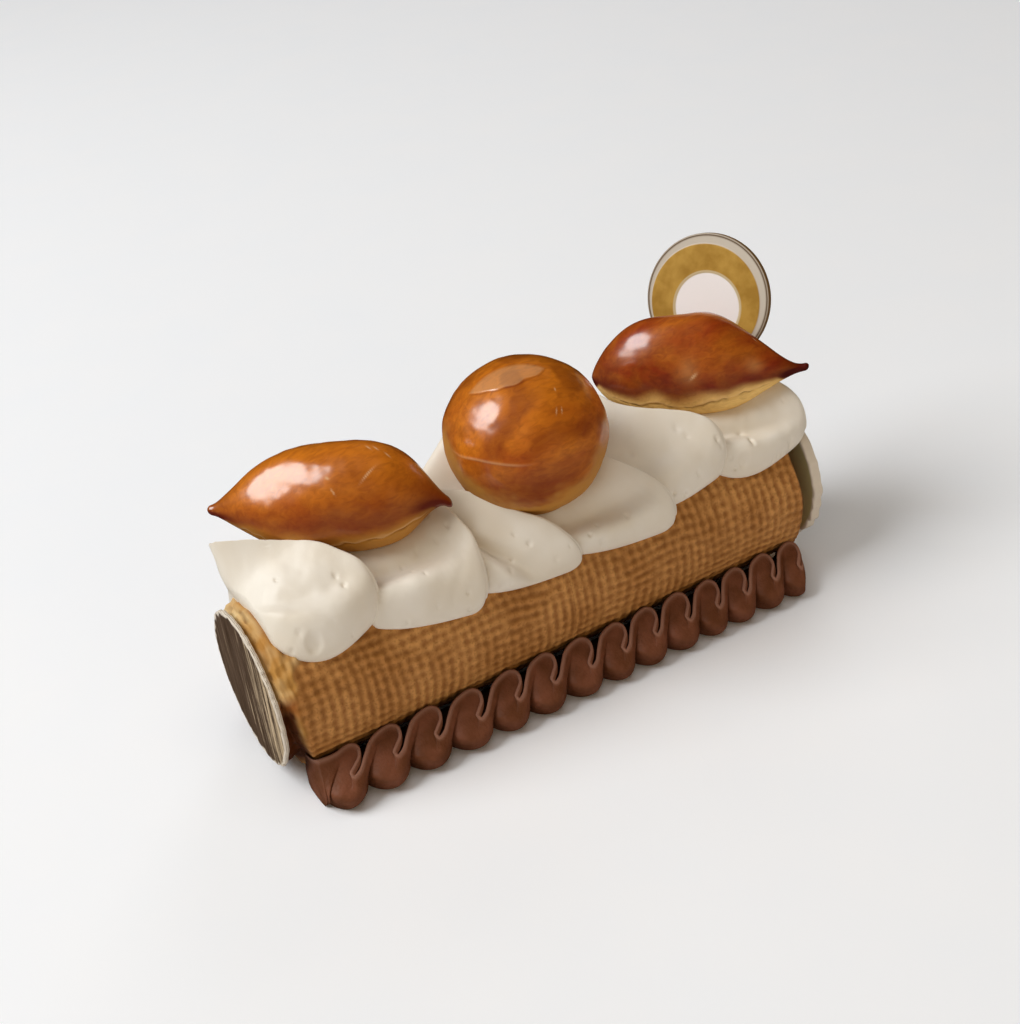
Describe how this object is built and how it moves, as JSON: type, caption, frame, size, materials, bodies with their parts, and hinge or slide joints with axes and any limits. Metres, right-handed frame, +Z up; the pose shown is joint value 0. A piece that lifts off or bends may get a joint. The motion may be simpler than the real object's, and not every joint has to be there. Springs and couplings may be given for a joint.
{
  "type": "saint-honore log cake",
  "caption": "Log-shaped saint-honore cake: rolled puff pastry under piped whipped cream petals, with glazed choux, a round chocolate medallion and a ruffle of chocolate cream along each side.",
  "frame": {"origin": "on the flat underside of the log, under its axis and half way between the outer faces of the two end discs", "axes": "+X along the log, from the left end disc to the right one, -Y towards the front and +Z up"},
  "size_m": [0.2244, 0.0898, 0.1168],
  "materials": {
    "pastry": "baked, woven imprint",
    "dark_chocolate": "brushed",
    "cream": "satin",
    "milk_chocolate": "satin",
    "amber_glaze": "glazed",
    "red_glaze": "glazed",
    "gold_print": "printed"
  },
  "bodies": {
    "root": {"pastry_log": "pastry", "end_disc_left": "dark_chocolate", "end_disc_right": "dark_chocolate", "whipped_cream": "cream", "ruffle_front": "milk_chocolate", "ruffle_back": "milk_chocolate", "chou_left": "amber_glaze", "chou_round": "amber_glaze", "chou_right": "red_glaze", "medallion": "gold_print"}
  },
  "joints": []
}
